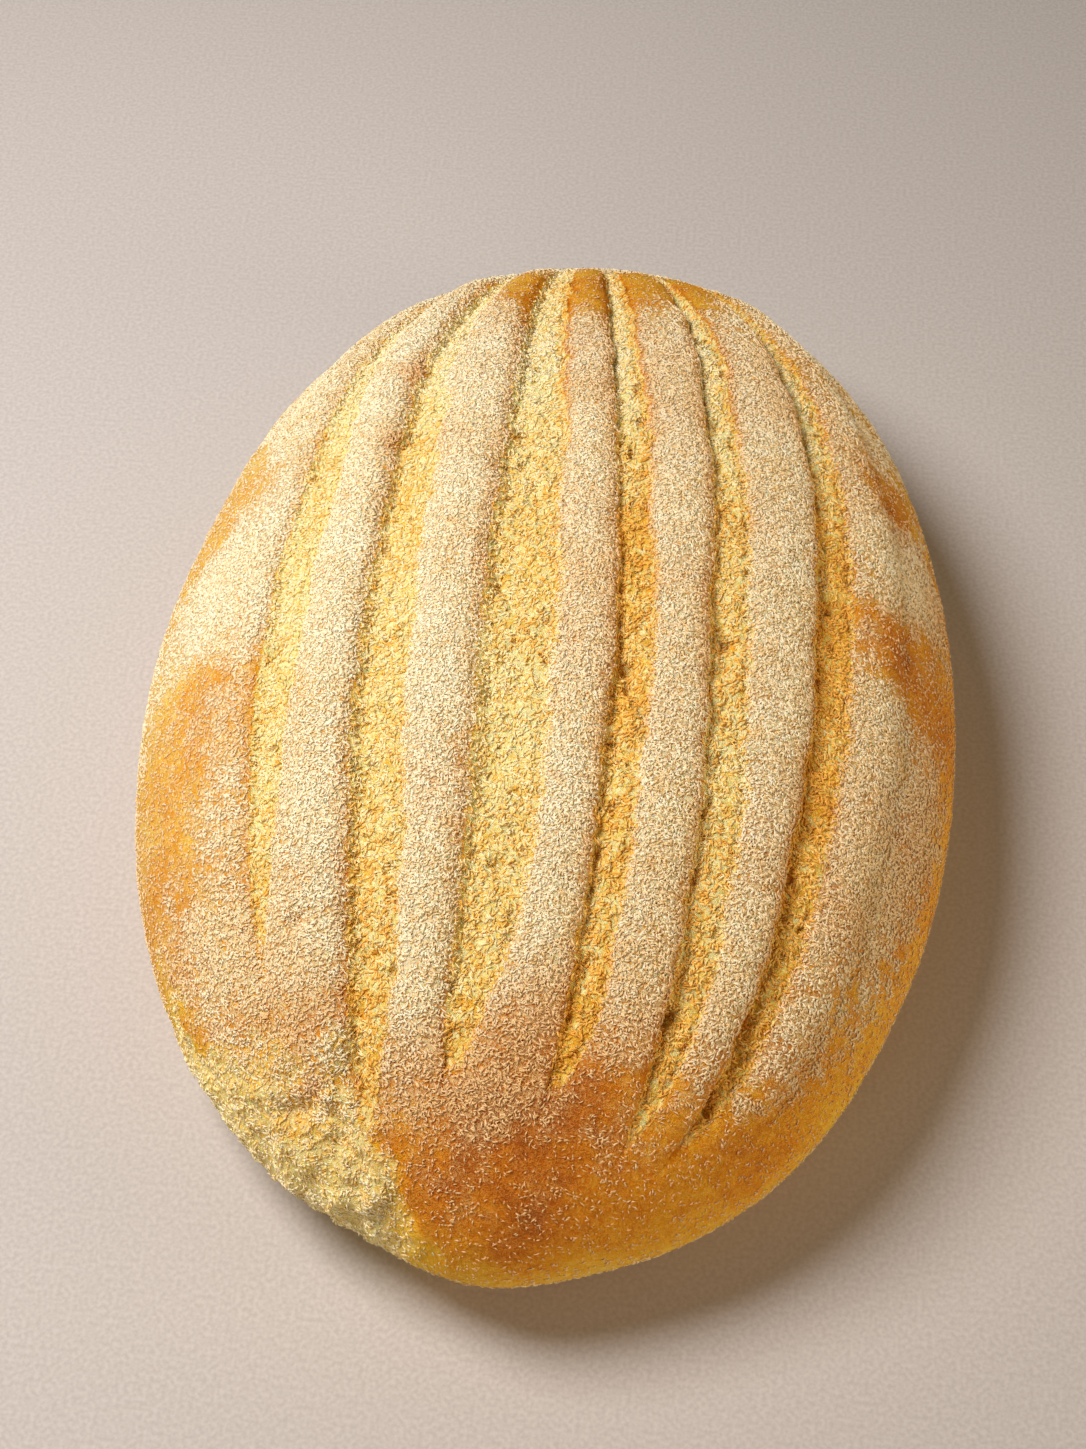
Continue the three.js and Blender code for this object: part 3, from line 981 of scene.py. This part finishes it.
def meal_material():
    material, tree, shader = start_material("meal")
    tone = math_node(tree, "ADD", reading(tree, "tone"), grouped(tree, MOTTLE, Amount=1.0))
    colour = grouped(tree, MEAL, Tone=tone, Bake=reading(tree, "bake"))
    tree.links.new(colour, shader.inputs["Base Color"])
    shader.inputs["Roughness"].default_value = 0.8
    shader.inputs["Specular IOR Level"].default_value = 0.3
    return material


meal = meal_material()
laid = readings["dust"] ** MEAL_CLOSENESS
for name, seed, length, width in MEAL_KINDS:
    grains = make_grains(
        name, GRAINS_A_PIECE, laid, seed, length, width, MEAL_BEND, MEAL_TILT, MEAL_LIFT)
    grains.data.materials.append(meal)


# ---------------------------------------------------------------------------------------------
# Crumb shreds. Where the dough tore open, its yellow crumb stands up in short soft shreds, along
# the floors of the grooves and over the torn patch. They are shaped like the grains, but larger.
# ---------------------------------------------------------------------------------------------
SHRED_SEED = 104
SHRED_LENGTH = (1.3, 2.6)
SHRED_WIDTH = (0.4, 0.6)
SHRED_BEND = 0.25
SHRED_TILT = 30
SHRED_LIFT = 0.1
SHRED_CLOSENESS = 1.5
SHRED_COLOURS = (
    (0.0, paint(240, 178, 78)),
    (0.14, paint(250, 196, 92)),
    (0.5, paint(253, 217, 132)),
    (1.0, paint(255, 239, 190)),
)


def crumb_material():
    material, tree, shader = start_material("crumb_shreds")
    tone = math_node(tree, "ADD", reading(tree, "tone"), grouped(tree, MOTTLE, Amount=0.8))
    # The shreds darken where the skin under them is browner, which holds the crumb's golden tone and
    # painted shade alike.
    golden_and_shade = math_node(tree, "SUBTRACT", reading(tree, "bake"), 0.40)
    tone = math_node(tree, "SUBTRACT", tone, math_node(tree, "MULTIPLY", golden_and_shade, 2.0))
    tree.links.new(colour_ramp(tree, tone, SHRED_COLOURS), shader.inputs["Base Color"])
    shader.inputs["Roughness"].default_value = 0.8
    shader.inputs["Specular IOR Level"].default_value = 0.1
    return material


shreds = make_grains(
    "crumb_shreds", GRAINS_A_PIECE, readings["crumb"] ** SHRED_CLOSENESS, SHRED_SEED,
    SHRED_LENGTH, SHRED_WIDTH, SHRED_BEND, SHRED_TILT, SHRED_LIFT)
shreds.data.materials.append(crumb_material())


# ---------------------------------------------------------------------------------------------
# Floor and light. A pale plain floor, one broad soft light high on the left, two weak warm ones
# low down at the near left and the right, and a little even light from all round.
# ---------------------------------------------------------------------------------------------
FLOOR_SIZE = 6.0
FLOOR_COLOURS = (
    (0.3, paint(194, 184, 179)),
    (0.7, paint(208, 199, 194)),
)
# Each light's place and size in metres, its power in watts and its colour
LIGHTS = (
    ("key_light", (-0.31, 0.025, 0.56), 0.30, 4.22, (1.0, 0.985, 0.96)),
    ("near_light", (-0.34, -0.74, 0.22), 0.40, 1.2, (1.0, 0.86, 0.62)),
    ("right_light", (0.80, -0.22, 0.18), 0.36, 3.0, (1.0, 0.85, 0.58)),
)
ROOM_COLOUR = (1.0, 0.83, 0.66, 1.0)
ROOM_STRENGTH = 0.07


def make_floor():
    bpy.ops.object.select_all(action="DESELECT")
    bpy.ops.mesh.primitive_plane_add(size=FLOOR_SIZE)
    floor = bpy.context.object
    floor.name = "floor"
    material, tree, shader = start_material("floor")
    speckle = colour_ramp(tree, object_noise(tree, 0.9, 1.0), FLOOR_COLOURS)
    tree.links.new(speckle, shader.inputs["Base Color"])
    shader.inputs["Roughness"].default_value = 0.9
    floor.data.materials.append(material)


def make_light(name, place, size, power, colour):
    lamp = bpy.data.lights.new(name, "AREA")
    lamp.shape = "DISK"
    lamp.size = size
    lamp.energy = power
    lamp.color = colour
    light = bpy.data.objects.new(name, lamp)
    bpy.context.collection.objects.link(light)
    light.location = place
    light.rotation_euler = (-Vector(place)).to_track_quat("-Z", "Y").to_euler()


def light_room():
    world = bpy.data.worlds.new("room")
    world.use_nodes = True
    background = world.node_tree.nodes["Background"]
    background.inputs["Color"].default_value = ROOM_COLOUR
    background.inputs["Strength"].default_value = ROOM_STRENGTH
    bpy.context.scene.world = world


make_floor()
for light in LIGHTS:
    make_light(*light)
light_room()
bpy.context.scene.view_settings.view_transform = "Standard"
